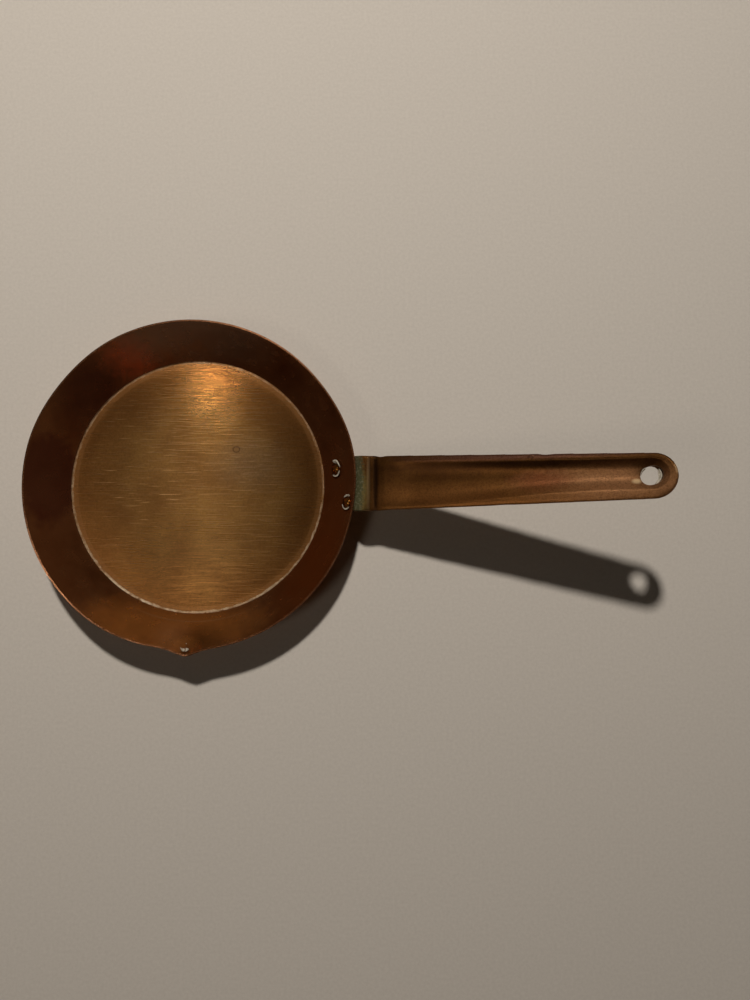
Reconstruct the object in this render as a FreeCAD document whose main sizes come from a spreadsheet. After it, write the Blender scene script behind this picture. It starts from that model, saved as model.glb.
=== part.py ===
"""A small flared copper pan with a pinched pouring lip and a riveted strip handle.

Four pieces: the pan, raised from one round of sheet; the handle, pressed from one strip, flange and
all; and the two rivets that hold the flange to the wall. Nothing on it moves.

Millimetres. The origin is the centre of the pan's underside, on the surface that it stands on.
+Z is up, +X runs out along the handle, and the pouring lip points along -Y.
"""

import FreeCAD, Part
import math
import os

import Sketcher
from FreeCAD import Placement, Rotation, Vector

OUT = "parts"

# name, size, what it is
SIZES = (
    ("rim_radius", 60.0, "outside of the wall at the rim"),
    ("foot_radius", 48.8, "outside of the wall, carried down to the floor"),
    ("pan_height", 16.0, "floor to rim"),
    ("pan_sheet", 1.0, "thickness of the pan's sheet"),
    ("foot_bend", 0.8, "inside radius where the floor turns up into the wall"),
    ("rim_round", 0.3, "rounding of the rim's two edges"),
    ("lip_reach", 2.3, "how far the pouring lip's tip stands beyond the rim circle"),
    ("lip_radius", 1.0, "inside radius of the pouring lip's tip"),
    ("lip_crease", 8.0, "half the angle of the lip's crease at the floor, in degrees"),
    ("strip_sheet", 1.5, "thickness of the handle's strip"),
    ("strip_width", 20.0, "width of the flange, the ledge and the strip's wide end"),
    ("strip_length", 101.5, "ledge to tip, along the strip"),
    ("tip_radius", 7.6, "half the width of the strip at its round tip"),
    ("strip_tilt", 20.0, "rise of the strip from level, in degrees"),
    ("strip_bend", 3.0, "upper radius of the bend from the ledge to the strip"),
    ("seat_gap", 0.05, "clearance between the flange and the wall"),
    ("flange_foot", 3.5, "height above the floor at which the flange starts"),
    ("flange_corner", 3.0, "rounding of the flange's two lower corners"),
    ("flange_bend", 4.0, "upper radius of the bend from the flange to the ledge"),
    ("ledge_reach", 7.5, "where the ledge turns up into the strip, beyond the rim"),
    ("groove_start", 1.6, "ledge to the start of the pressed groove"),
    ("groove_margin", 2.25, "strip left on each side of the groove at its start"),
    ("groove_depth", 1.3, "depth of the groove at its start"),
    ("groove_tip_margin", 2.8, "strip left round the groove at the tip"),
    ("groove_tip_depth", 2.0, "depth of the groove at the tip"),
    ("groove_shift", 0.8, "how far the groove lies off the strip's middle, towards +Y"),
    ("hang_radius", 3.0, "radius of the hanging hole"),
    ("hang_inset", 0.9, "how far the hanging hole lies inward of the groove's round nose"),
    ("hang_shift", 0.1, "how far the hanging hole lies off the strip's middle, towards +Y"),
    ("rivet_radius", 1.5, "radius of a rivet's shank"),
    ("rivet_fit", 0.02, "radial clearance between a shank and its holes"),
    ("head_seat", 0.05, "clearance under a rivet's inner head, which the wall curves up to meet"),
    ("head_radius", 2.2, "radius of a rivet's inner head"),
    ("head_height", 1.3, "height of a rivet's inner head"),
    ("tail_radius", 2.6, "radius of a rivet's outer head"),
    ("tail_height", 1.1, "height of a rivet's outer head"),
    ("low_rivet_height", 7.3, "height of the lower rivet on the outside of the wall"),
    ("low_rivet_angle", 6.6, "how far round from the handle's middle, in degrees"),
    ("high_rivet_height", 13.5, "height of the upper rivet on the outside of the wall"),
    ("high_rivet_angle", -6.6, "how far round from the handle's middle, in degrees"),
)

# formulas of the sheet's cells, which more than one sketch uses
SLOPE = "atan2(Sizes.pan_height; Sizes.rim_radius - Sizes.foot_radius)"
WALL_RUN = f"(Sizes.pan_sheet / sin({SLOPE}))"
BEND_OUT = "(Sizes.seat_gap + Sizes.flange_bend)"
BEND_RADIUS = f"(Sizes.rim_radius + {BEND_OUT} * sin({SLOPE}))"
BEND_HEIGHT = f"(Sizes.pan_height - {BEND_OUT} * cos({SLOPE}))"
STRIP_START = "(Sizes.rim_radius + Sizes.ledge_reach)"
STRIP_HEIGHT = f"({BEND_HEIGHT} + Sizes.flange_bend)"
NOSE_ALONG = "(Sizes.strip_length - Sizes.tip_radius)"
OUTER_TIP = f"(Sizes.lip_radius + {WALL_RUN})"
LIP_CENTRE = f"(Sizes.rim_radius + Sizes.lip_reach - {OUTER_TIP})"
LIP_TURN = f"acos((Sizes.rim_radius - {OUTER_TIP}) / {LIP_CENTRE})"

doc = FreeCAD.newDocument("copper_pan")
sizes = doc.addObject("Spreadsheet::Sheet", "Sizes")


def fill_sheet():
    """Writes every driving size into the sheet, with its name as the cell's alias."""
    for row, (name, amount, meaning) in enumerate(SIZES, start=1):
        sizes.set(f"A{row}", name)
        sizes.set(f"B{row}", str(amount))
        sizes.set(f"C{row}", meaning)
        sizes.setAlias(f"B{row}", name)
    doc.recompute()


def size(formula):
    """What a formula of the sheet's cells comes to, in millimetres or degrees."""
    return float(sizes.evalExpression(formula))


# ---------------------------------------------------------------- sketches and features


def new_body(label):
    body = doc.addObject("PartDesign::Body", label)
    body.Label = label
    return body


def new_sketch(body, name, role="XY_Plane", moved=None):
    """A sketch on one of the body's own origin planes. moved is its place from that plane."""
    sketch = body.newObject("Sketcher::SketchObject", name)
    plane = next(f for f in body.Origin.OriginFeatures if f.Role == role)
    sketch.AttachmentSupport = [(plane, "")]
    sketch.MapMode = "FlatFace"
    if moved is not None:
        sketch.AttachmentOffset = moved
    return sketch


def bind_offset(sketch, **formulas):
    """Binds the named coordinates of the sketch's place to formulas of the sheet's cells."""
    for axis, formula in formulas.items():
        sketch.setExpression(f".AttachmentOffset.Base.{axis}", formula)


def new_feature(body, kind, name, bound=None, **settings):
    """A feature with plain settings, and bound settings that follow the sheet."""
    feature = body.newObject(f"PartDesign::{kind}", name)
    for key, setting in settings.items():
        setattr(feature, key, setting)
    for key, formula in (bound or {}).items():
        feature.setExpression(key, formula)
    doc.recompute()
    return feature


def cut_feature(body, kind, name, bound=None, **settings):
    """A feature that has to take material away."""
    before = body.Shape.Volume
    feature = new_feature(body, kind, name, bound, **settings)
    if body.Shape.Volume >= before:
        raise RuntimeError(f"{name} cut nothing")
    return feature


def round_edges(body, base, name, test, formula):
    """Rounds the edges of base that pass the test."""
    names = [f"Edge{i}" for i, edge in enumerate(base.Shape.Edges, start=1) if test(edge)]
    return new_feature(body, "Fillet", name, {"Radius": formula}, Base=(base, names))


def add_line(sketch, start, end):
    return sketch.addGeometry(Part.LineSegment(Vector(*start, 0), Vector(*end, 0)), False)


def add_arc(sketch, centre, radius, start, end):
    """An arc drawn anticlockwise from start to end, which are angles in radians."""
    circle = Part.Circle(Vector(*centre, 0), Vector(0, 0, 1), radius)
    return sketch.addGeometry(Part.ArcOfCircle(circle, start, end), False)


def add_circle(sketch, centre, radius):
    return sketch.addGeometry(Part.Circle(Vector(*centre, 0), Vector(0, 0, 1), radius), False)


def tie(sketch, kind, *places):
    sketch.addConstraint(Sketcher.Constraint(kind, *places))


def chain(sketch, joints, kind="Coincident"):
    """Joins geometry end to end. Each joint is (one, its end, other, its end)."""
    for joint in joints:
        tie(sketch, kind, *joint)


def drive(sketch, kind, place, name, formula):
    """A named dimension, bound to a formula of the sheet's cells."""
    amount = size(formula)
    if kind == "Angle":
        amount = math.radians(amount)
    index = sketch.addConstraint(Sketcher.Constraint(kind, *place, amount))
    sketch.renameConstraint(index, name)
    sketch.setExpression(f"Constraints.{name}", formula)


# ---------------------------------------------------------------- places on the pan and the handle


def rivet_place(which):
    """A rivet's frame: origin on the wall's outside, +Z square through the wall into the pan."""
    height = size(f"Sizes.{which}_rivet_height")
    slope = size(SLOPE)
    radius = size("Sizes.foot_radius") + height / math.tan(math.radians(slope))
    round_axis = Rotation(Vector(0, 0, 1), size(f"Sizes.{which}_rivet_angle"))
    lean = Rotation(Vector(0, 1, 0), -slope)
    return Placement(round_axis.multVec(Vector(radius, 0, height)), round_axis.multiply(lean))


def strip_place():
    """The strip's frame: origin on its upper face at the ledge, +X along it, +Z square to it."""
    tilt = Rotation(Vector(0, -1, 0), size("Sizes.strip_tilt"))
    return Placement(Vector(size(STRIP_START), 0, size(STRIP_HEIGHT)), tilt)


def strip_sketch(body, name):
    """A sketch on the strip's upper face."""
    sketch = new_sketch(body, name, moved=strip_place())
    bind_offset(sketch, x=STRIP_START, z=STRIP_HEIGHT)
    sketch.setExpression(".AttachmentOffset.Rotation.Angle", "Sizes.strip_tilt")
    return sketch


def strip_side_sketch(body, name, off_middle="0 mm"):
    """A sketch lengthwise through the strip: its x runs along the upper face, its y up from it."""
    tilt = Rotation(Vector(0, 0, 1), size("Sizes.strip_tilt"))
    place = Placement(Vector(size(STRIP_START), size(STRIP_HEIGHT), -size(off_middle)), tilt)
    sketch = new_sketch(body, name, "XZ_Plane", place)
    bind_offset(sketch, x=STRIP_START, y=STRIP_HEIGHT, z=f"-({off_middle})")
    sketch.setExpression(".AttachmentOffset.Rotation.Angle", "Sizes.strip_tilt")
    return sketch


def drill_rivet_hole(body, which, through):
    """Drills the body for a rivet's shank, square to the wall. through is the formula of the depth."""
    sketch = new_sketch(body, f"{which}_rivet_spot", moved=rivet_place(which))
    hole = add_circle(sketch, (0, 0), size("Sizes.rivet_radius + Sizes.rivet_fit"))
    tie(sketch, "Coincident", hole, 3, -1, 1)
    drive(sketch, "Radius", (hole,), "hole", "Sizes.rivet_radius + Sizes.rivet_fit")
    cut_feature(
        body, "Pocket", f"{which}_rivet_hole", {"Length": through}, Profile=sketch, Type="Length", Midplane=True
    )


# ---------------------------------------------------------------- the pan


def foot_sketch(body, name, height, radius):
    """A circle in four arcs, which answer to the rim, the lip's two sides and its tip."""
    sketch = new_sketch(body, name)
    bind_offset(sketch, z=height)
    down, full = -math.pi / 2, 2 * math.pi
    wide, narrow = math.radians(size(LIP_TURN)), math.radians(size("Sizes.lip_crease"))
    stops = (down + wide, down - wide + full, down - narrow + full, down + narrow + full, down + wide + full)
    arcs = [add_arc(sketch, (0, 0), size(radius), a, b) for a, b in zip(stops, stops[1:])]
    chain(sketch, [(here, 2, after, 1) for here, after in zip(arcs, arcs[1:] + arcs[:1])])
    rim, left, tip, right = arcs
    for arc in (rim, left, tip):
        tie(sketch, "Coincident", arc, 3, -1, 1)
    tie(sketch, "Equal", rim, right)
    drive(sketch, "Radius", (rim,), "foot", radius)
    for name, place, turn in (
        ("left", (rim, 2, -1, 1), LIP_TURN),
        ("right", (-1, 1, rim, 1), LIP_TURN),
        ("crease_left", (left, 2, -1, 1), "Sizes.lip_crease"),
        ("crease_right", (-1, 1, right, 1), "Sizes.lip_crease"),
    ):
        # an angle is a plain number in the sheet, so it is given its unit here
        unit = "" if turn == LIP_TURN else " * 1 deg"
        drive(sketch, "DistanceX", place, name, f"({radius}) * sin({turn}{unit})")
    return sketch


def rim_sketch(body, name, inset):
    """A circle drawn out to a small round tip by two straight sides that touch both.

    inset counts the wall's thicknesses in from the outside."""
    radius_formula = f"Sizes.rim_radius - {inset} * {WALL_RUN}"
    tip_formula = f"{OUTER_TIP} - {inset} * {WALL_RUN}"
    radius, tip, reach = size(radius_formula), size(tip_formula), size(LIP_CENTRE)
    turn, down = math.radians(size(LIP_TURN)), -math.pi / 2
    sketch = new_sketch(body, name)
    bind_offset(sketch, z="Sizes.pan_height")

    def touch(centre_y, r, side):
        return side * r * math.sin(turn), centre_y - r * math.cos(turn)

    rim = add_arc(sketch, (0, 0), radius, down + turn, down - turn + 2 * math.pi)
    left = add_line(sketch, touch(0, radius, -1), touch(-reach, tip, -1))
    lip = add_arc(sketch, (0, -reach), tip, down - turn, down + turn)
    right = add_line(sketch, touch(-reach, tip, 1), touch(0, radius, 1))
    chain(sketch, ((rim, 2, left, 1), (left, 2, lip, 1), (lip, 2, right, 1), (right, 2, rim, 1)), "Tangent")
    tie(sketch, "Coincident", rim, 3, -1, 1)
    tie(sketch, "PointOnObject", lip, 3, -2)
    drive(sketch, "Radius", (rim,), "rim", radius_formula)
    drive(sketch, "Radius", (lip,), "tip", tip_formula)
    drive(sketch, "DistanceY", (lip, 3, -1, 1), "reach", LIP_CENTRE)
    return sketch


def make_pan():
    body = new_body("pan_body")
    foot = foot_sketch(body, "foot_outside", "0 mm", "Sizes.foot_radius")
    rim = rim_sketch(body, "rim_outside", 0)
    new_feature(body, "AdditiveLoft", "outside", Profile=foot, Sections=[rim], Ruled=True)
    floor_radius = f"Sizes.foot_radius + Sizes.pan_sheet / tan({SLOPE}) - {WALL_RUN}"
    floor = foot_sketch(body, "floor_inside", "Sizes.pan_sheet", floor_radius)
    rim = rim_sketch(body, "rim_inside", 1)
    shell = cut_feature(body, "SubtractiveLoft", "hollow", Profile=floor, Sections=[rim], Ruled=True)

    def level_at(formula):
        height = size(formula)
        return lambda e: max(abs(e.BoundBox.ZMin - height), abs(e.BoundBox.ZMax - height)) < 1e-4

    shell = round_edges(body, shell, "floor_bend", level_at("Sizes.pan_sheet"), "Sizes.foot_bend")
    shell = round_edges(body, shell, "foot_bend", level_at("0"), "Sizes.foot_bend + Sizes.pan_sheet")
    rim_round = "min(Sizes.rim_round; 0.4 * Sizes.pan_sheet)"
    round_edges(body, shell, "rim_rounding", level_at("Sizes.pan_height"), rim_round)
    for which in ("low", "high"):
        drill_rivet_hole(body, which, "4 * Sizes.pan_sheet")
    return body


# ---------------------------------------------------------------- the handle


def tool_sketch(body, name, grow):
    """Half the press tool's outline: a cone with a round nose, lying along the strip, sunk into it.

    grow counts the strip's thicknesses that the outline is moved outwards."""
    sketch = strip_side_sketch(body, name, "Sizes.groove_shift * 1 mm")
    thick = f"{grow} * Sizes.strip_sheet"

    def ball(half_width, depth):
        return f"((({half_width}) ^ 2 + Sizes.{depth} ^ 2) / (2 * Sizes.{depth}))"

    start_ball = ball("Sizes.strip_width / 2 - Sizes.groove_margin", "groove_depth")
    nose_ball = ball("Sizes.tip_radius - Sizes.groove_tip_margin", "groove_tip_depth")
    start_rise = f"{start_ball} - Sizes.groove_depth"
    nose_rise = f"{nose_ball} - Sizes.groove_tip_depth"
    start = Vector(size("Sizes.groove_start"), size(start_rise), 0)
    nose = Vector(size(NOSE_ALONG), size(nose_rise), 0)
    along = (nose - start).normalize()
    down = Vector(along.y, -along.x, 0)
    end = start - along * size(thick)
    low_end = end + down * size(f"{start_ball} + {thick}")
    nose_radius = size(f"{nose_ball} + {thick}")
    low_nose = nose + down * nose_radius
    tip = nose + along * nose_radius
    side = add_line(sketch, (low_end.x, low_end.y), (low_nose.x, low_nose.y))
    round_nose = add_arc(
        sketch, (nose.x, nose.y), nose_radius, math.atan2(down.y, down.x), math.atan2(along.y, along.x)
    )
    axis = add_line(sketch, (tip.x, tip.y), (end.x, end.y))
    back = add_line(sketch, (end.x, end.y), (low_end.x, low_end.y))
    spot = sketch.addGeometry(Part.Point(start), True)
    tie(sketch, "Tangent", side, 2, round_nose, 1)
    chain(sketch, ((round_nose, 2, axis, 1), (axis, 2, back, 1), (back, 2, side, 1)))
    tie(sketch, "PointOnObject", round_nose, 3, axis)
    tie(sketch, "Perpendicular", back, axis)
    drive(sketch, "DistanceX", (-1, 1, spot, 1), "start_along", "Sizes.groove_start")
    drive(sketch, "DistanceY", (-1, 1, spot, 1), "start_rise", start_rise)
    drive(sketch, "DistanceX", (-1, 1, round_nose, 3), "nose_along", NOSE_ALONG)
    drive(sketch, "DistanceY", (-1, 1, round_nose, 3), "nose_rise", nose_rise)
    drive(sketch, "Radius", (round_nose,), "nose", f"{nose_ball} + {thick}")
    drive(sketch, "Distance", (back,), "start", f"{start_ball} + {thick}")
    if grow:
        tie(sketch, "PointOnObject", spot, 1, axis)
        drive(sketch, "Distance", (spot, 1, axis, 2), "back_off", thick)
    else:
        tie(sketch, "Coincident", spot, 1, axis, 2)
    return sketch, axis


def press_bulge(body):
    """The groove's underside, one thickness outside the groove, and only below the strip's face."""
    sketch, axis = tool_sketch(body, "bulge_outline", 1)
    new_feature(body, "Revolution", "bulge", Profile=sketch, ReferenceAxis=(sketch, [f"Edge{axis + 1}"]), Angle=360)
    above = strip_sketch(body, "above_strip")
    reach = size("2 * Sizes.strip_length")
    corners = ((-reach, -reach), (reach, -reach), (reach, reach), (-reach, reach))
    sides = [add_line(above, a, b) for a, b in zip(corners, corners[1:] + corners[:1])]
    chain(above, [(here, 2, after, 1) for here, after in zip(sides, sides[1:] + sides[:1])])
    cut_feature(
        body, "Pocket", "face_cut", {"Length": "2 * Sizes.strip_length"}, Profile=above, Type="Length", Reversed=True
    )


def bend_strip(body):
    """The level ledge and the tilted strip, as one bent section as wide as the flange."""
    sketch = strip_side_sketch(body, "strip_section")
    thick, length = size("Sizes.strip_sheet"), size("Sizes.strip_length")
    bend, tilt = size("Sizes.strip_bend"), math.radians(size("Sizes.strip_tilt"))
    ledge = Vector(-math.cos(tilt), math.sin(tilt), 0)
    square = Vector(math.sin(tilt), math.cos(tilt), 0)
    run = bend * math.tan(tilt / 2)
    centre = Vector(run, bend, 0)
    ledge_formula = f"({STRIP_START} - {BEND_RADIUS})"
    ledge_end = ledge * size(ledge_formula)
    ledge_turn = ledge * run
    low_turn, low_end = ledge_turn - square * thick, ledge_end - square * thick
    back_angle = math.atan2(-square.y, -square.x)
    down = -math.pi / 2
    top = add_line(sketch, (run, 0), (length, 0))
    tip = add_line(sketch, (length, 0), (length, -thick))
    under = add_line(sketch, (length, -thick), (run, -thick))
    low_bend = add_arc(sketch, (centre.x, centre.y), bend + thick, back_angle, down)
    low_ledge = add_line(sketch, (low_turn.x, low_turn.y), (low_end.x, low_end.y))
    back = add_line(sketch, (low_end.x, low_end.y), (ledge_end.x, ledge_end.y))
    high_ledge = add_line(sketch, (ledge_end.x, ledge_end.y), (ledge_turn.x, ledge_turn.y))
    high_bend = add_arc(sketch, (centre.x, centre.y), bend, back_angle, down)
    chain(sketch, ((top, 2, tip, 1), (tip, 2, under, 1), (low_ledge, 2, back, 1), (back, 2, high_ledge, 1)))
    chain(
        sketch,
        ((under, 2, low_bend, 2), (low_bend, 1, low_ledge, 1), (high_ledge, 2, high_bend, 1), (high_bend, 2, top, 1)),
        "Tangent",
    )
    tie(sketch, "Coincident", low_bend, 3, high_bend, 3)
    tie(sketch, "PointOnObject", top, 1, -1)
    tie(sketch, "Horizontal", top)
    tie(sketch, "Vertical", tip)
    tie(sketch, "Perpendicular", back, high_ledge)
    tie(sketch, "Parallel", low_ledge, high_ledge)
    drive(sketch, "Distance", (tip,), "thick", "Sizes.strip_sheet")
    drive(sketch, "Radius", (high_bend,), "bend", "Sizes.strip_bend")
    drive(sketch, "DistanceX", (-1, 1, top, 2), "length", "Sizes.strip_length")
    drive(sketch, "DistanceX", (-1, 1, high_bend, 3), "run", "Sizes.strip_bend * tan(Sizes.strip_tilt * 0.5 deg)")
    ledge_x = f"{ledge_formula} * cos(Sizes.strip_tilt * 1 deg)"
    ledge_y = f"{ledge_formula} * sin(Sizes.strip_tilt * 1 deg)"
    drive(sketch, "DistanceX", (back, 2, -1, 1), "ledge_run", ledge_x)
    drive(sketch, "DistanceY", (-1, 1, back, 2), "ledge_rise", ledge_y)
    new_feature(body, "Pad", "strip", {"Length": "Sizes.strip_width"}, Profile=sketch, Type="Length", Midplane=True)


def turn_flange(body):
    """The flange up the wall and its bend over to the level, as one section turned round the pan's axis."""
    slope = math.radians(size(SLOPE))
    thick, bend = size("Sizes.strip_sheet"), size("Sizes.flange_bend")
    centre = Vector(size(BEND_RADIUS), size(BEND_HEIGHT), 0)
    up = Vector(math.cos(slope), math.sin(slope), 0)
    inward = Vector(-math.sin(slope), math.cos(slope), 0)
    high = centre + inward * bend
    low = high - up * ((high.y - size("Sizes.flange_foot")) / up.y)
    high_out, low_out = high - inward * thick, low - inward * thick
    # the level part runs on until its round end covers the ledge's straight back
    level_formula = f"sqrt({BEND_RADIUS} ^ 2 + Sizes.strip_width ^ 2 / 4)"
    level_end = size(level_formula)
    top, start = centre.y + bend, math.atan2(inward.y, inward.x)
    sketch = new_sketch(body, "flange_section", "XZ_Plane")
    inner = add_line(sketch, (low.x, low.y), (high.x, high.y))
    over = add_arc(sketch, (centre.x, centre.y), bend, math.pi / 2, start)
    high_level = add_line(sketch, (centre.x, top), (level_end, top))
    end = add_line(sketch, (level_end, top), (level_end, top - thick))
    low_level = add_line(sketch, (level_end, top - thick), (centre.x, top - thick))
    under = add_arc(sketch, (centre.x, centre.y), bend - thick, math.pi / 2, start)
    outer = add_line(sketch, (high_out.x, high_out.y), (low_out.x, low_out.y))
    foot = add_line(sketch, (low_out.x, low_out.y), (low.x, low.y))
    chain(sketch, ((high_level, 2, end, 1), (end, 2, low_level, 1), (outer, 2, foot, 1), (foot, 2, inner, 1)))
    chain(
        sketch, ((inner, 2, over, 2), (over, 1, high_level, 1), (low_level, 2, under, 1), (under, 2, outer, 1)),
        "Tangent",
    )
    tie(sketch, "Coincident", over, 3, under, 3)
    tie(sketch, "Horizontal", high_level)
    tie(sketch, "Horizontal", low_level)
    tie(sketch, "Vertical", end)
    tie(sketch, "Parallel", outer, inner)
    tie(sketch, "Perpendicular", foot, inner)
    drive(sketch, "DistanceX", (-1, 1, over, 3), "bend_radius", BEND_RADIUS)
    drive(sketch, "DistanceY", (-1, 1, over, 3), "bend_height", BEND_HEIGHT)
    drive(sketch, "Radius", (over,), "bend", "Sizes.flange_bend")
    drive(sketch, "DistanceX", (-1, 1, end, 1), "level_end", level_formula)
    drive(sketch, "Distance", (end,), "thick", "Sizes.strip_sheet")
    drive(sketch, "Angle", (inner,), "slope", SLOPE)
    drive(sketch, "DistanceY", (-1, 1, inner, 1), "foot_height", "Sizes.flange_foot")
    # turned a little further than the strip is wide where the flange is nearest to the axis
    wrap = "2.2 * asin(Sizes.strip_width / 2 / Sizes.foot_radius)"
    new_feature(
        body, "Revolution", "flange", {"Angle": wrap}, Profile=sketch, ReferenceAxis=(sketch, ["V_Axis"]), Midplane=True
    )


def trim_outline(body):
    """Cuts everything to the strip's outline: straight sides, a taper, and a round tip."""
    half, tip, length = size("Sizes.strip_width / 2"), size("Sizes.tip_radius"), size("Sizes.strip_length")
    tip_centre = length - tip
    turn = math.pi / 2 - math.asin((half - tip) / math.hypot(tip_centre, half - tip))
    touch = (tip_centre + tip * math.cos(turn), tip * math.sin(turn))
    back, margin = -length / 2, 2 * half
    sketch = strip_sketch(body, "strip_outline")
    run = ((0, half), (back, half), (back, -half), (0, -half))
    high_side, rear, low_side = (add_line(sketch, a, b) for a, b in zip(run, run[1:]))
    low_taper = add_line(sketch, (0, -half), (touch[0], -touch[1]))
    end = add_arc(sketch, (tip_centre, 0), tip, -turn, turn)
    high_taper = add_line(sketch, touch, (0, half))
    chain(sketch, ((high_side, 2, rear, 1), (rear, 2, low_side, 1), (low_side, 2, low_taper, 1)))
    chain(sketch, ((low_taper, 2, end, 1), (end, 2, high_taper, 1)), "Tangent")
    tie(sketch, "Coincident", high_taper, 2, high_side, 1)
    tie(sketch, "Horizontal", high_side)
    tie(sketch, "Horizontal", low_side)
    tie(sketch, "Vertical", rear)
    tie(sketch, "PointOnObject", end, 3, -1)
    tie(sketch, "PointOnObject", low_side, 2, -2)
    tie(sketch, "PointOnObject", high_side, 1, -2)
    drive(sketch, "Radius", (end,), "tip", "Sizes.tip_radius")
    drive(sketch, "DistanceX", (-1, 1, end, 3), "tip_centre", NOSE_ALONG)
    drive(sketch, "DistanceY", (-1, 1, high_side, 1), "high_half", "Sizes.strip_width / 2")
    drive(sketch, "DistanceY", (low_side, 2, -1, 1), "low_half", "Sizes.strip_width / 2")
    drive(sketch, "DistanceX", (rear, 1, -1, 1), "rear", "Sizes.strip_length / 2")
    far, wide = length + margin, half + margin
    frame = ((back - margin, -wide), (far, -wide), (far, wide), (back - margin, wide))
    sides = [add_line(sketch, a, b) for a, b in zip(frame, frame[1:] + frame[:1])]
    chain(sketch, [(here, 2, after, 1) for here, after in zip(sides, sides[1:] + sides[:1])])
    cut_feature(
        body, "Pocket", "outline", {"Length": "2 * Sizes.strip_length"}, Profile=sketch, Type="Length", Midplane=True
    )


def press_groove(body):
    sketch, axis = tool_sketch(body, "groove_outline", 0)
    cut_feature(body, "Groove", "groove", Profile=sketch, ReferenceAxis=(sketch, [f"Edge{axis + 1}"]), Angle=360)


def punch_hanging_hole(body):
    """A hole square to the strip, just inside the round nose of the groove."""
    sketch = strip_sketch(body, "hanging_hole_spot")
    hole_along = f"{NOSE_ALONG} - Sizes.hang_inset"
    hole = add_circle(sketch, (size(hole_along), size("Sizes.hang_shift")), size("Sizes.hang_radius"))
    drive(sketch, "Radius", (hole,), "hole", "Sizes.hang_radius")
    drive(sketch, "DistanceX", (-1, 1, hole, 3), "along", hole_along)
    drive(sketch, "DistanceY", (-1, 1, hole, 3), "off_middle", "Sizes.hang_shift")
    deep = "4 * (Sizes.strip_sheet + Sizes.groove_tip_depth)"
    return cut_feature(
        body, "Pocket", "hanging_hole", {"Length": deep}, Profile=sketch, Type="Length", Midplane=True
    )


def round_flange(body, base):
    """Rounds the flange's two lower corners."""
    half, foot = size("Sizes.strip_width / 2"), size("Sizes.flange_foot")
    longest = 1.2 * size("Sizes.strip_sheet")

    def corner(edge):
        ends = [v.Point for v in edge.Vertexes]
        low = all(abs(abs(p.y) - half) < 1e-3 and p.z < foot + 1e-3 for p in ends)
        return low and edge.Length < longest

    round_edges(body, base, "flange_corners", corner, "Sizes.flange_corner")


def make_handle():
    body = new_body("handle")
    press_bulge(body)
    bend_strip(body)
    turn_flange(body)
    trim_outline(body)
    press_groove(body)
    round_flange(body, punch_hanging_hole(body))
    for which in ("low", "high"):
        drill_rivet_hole(body, which, "4 * (Sizes.seat_gap + Sizes.strip_sheet)")
    return body


# ---------------------------------------------------------------- the rivets


def make_rivet(which):
    """One rivet: a domed head inside the pan, the shank, and a flatter dome outside the flange."""
    body = new_body(f"{which}_rivet")
    sketch = new_sketch(body, "section", "XZ_Plane")
    inside_formula, outside_formula = "Sizes.pan_sheet + Sizes.head_seat", "Sizes.seat_gap + Sizes.strip_sheet"

    def dome(part):
        return f"(Sizes.{part}_radius ^ 2 + Sizes.{part}_height ^ 2) / (2 * Sizes.{part}_height)"

    shank, inside, outside = size("Sizes.rivet_radius"), size(inside_formula), -size(outside_formula)
    head, tail = size(dome("head")), size(dome("tail"))
    head_radius, tail_radius = size("Sizes.head_radius"), size("Sizes.tail_radius")
    head_centre = inside + size("Sizes.head_height") - head
    tail_centre = outside - size("Sizes.tail_height") + tail
    head_angle = math.atan2(inside - head_centre, head_radius)
    tail_angle = math.atan2(outside - tail_centre, tail_radius)
    head_arc = add_arc(sketch, (0, head_centre), head, head_angle, math.pi / 2)
    axis = add_line(sketch, (0, head_centre + head), (0, tail_centre - tail))
    tail_arc = add_arc(sketch, (0, tail_centre), tail, -math.pi / 2, tail_angle)
    tail_step = add_line(sketch, (tail_radius, outside), (shank, outside))
    side = add_line(sketch, (shank, outside), (shank, inside))
    head_step = add_line(sketch, (shank, inside), (head_radius, inside))
    chain(sketch, ((head_arc, 2, axis, 1), (axis, 2, tail_arc, 1), (tail_arc, 2, tail_step, 1)))
    chain(sketch, ((tail_step, 2, side, 1), (side, 2, head_step, 1), (head_step, 2, head_arc, 1)))
    tie(sketch, "PointOnObject", head_arc, 3, -2)
    tie(sketch, "PointOnObject", tail_arc, 3, -2)
    tie(sketch, "PointOnObject", axis, 1, -2)
    tie(sketch, "PointOnObject", axis, 2, -2)
    tie(sketch, "Vertical", side)
    tie(sketch, "Horizontal", head_step)
    tie(sketch, "Horizontal", tail_step)
    drive(sketch, "DistanceX", (-1, 1, side, 1), "shank", "Sizes.rivet_radius")
    drive(sketch, "DistanceX", (-1, 1, head_arc, 1), "head_radius", "Sizes.head_radius")
    drive(sketch, "DistanceX", (-1, 1, tail_arc, 2), "tail_radius", "Sizes.tail_radius")
    drive(sketch, "DistanceY", (-1, 1, side, 2), "inside", inside_formula)
    drive(sketch, "DistanceY", (side, 1, -1, 1), "outside", outside_formula)
    drive(sketch, "Radius", (head_arc,), "head", dome("head"))
    drive(sketch, "Radius", (tail_arc,), "tail", dome("tail"))
    new_feature(body, "Revolution", "turned", Profile=sketch, ReferenceAxis=(sketch, ["V_Axis"]), Angle=360)
    body.Placement = rivet_place(which)
    return body


# ---------------------------------------------------------------- build, check, write


def check(bodies):
    broken = [o.Name for o in doc.Objects if "Invalid" in o.State or "Error" in o.State]
    if broken:
        raise RuntimeError(f"these objects failed: {broken}")
    for body in bodies:
        if body.Shape.isNull() or not body.Shape.isValid() or len(body.Shape.Solids) != 1:
            raise RuntimeError(f"{body.Label} isn't one sound solid")


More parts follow.
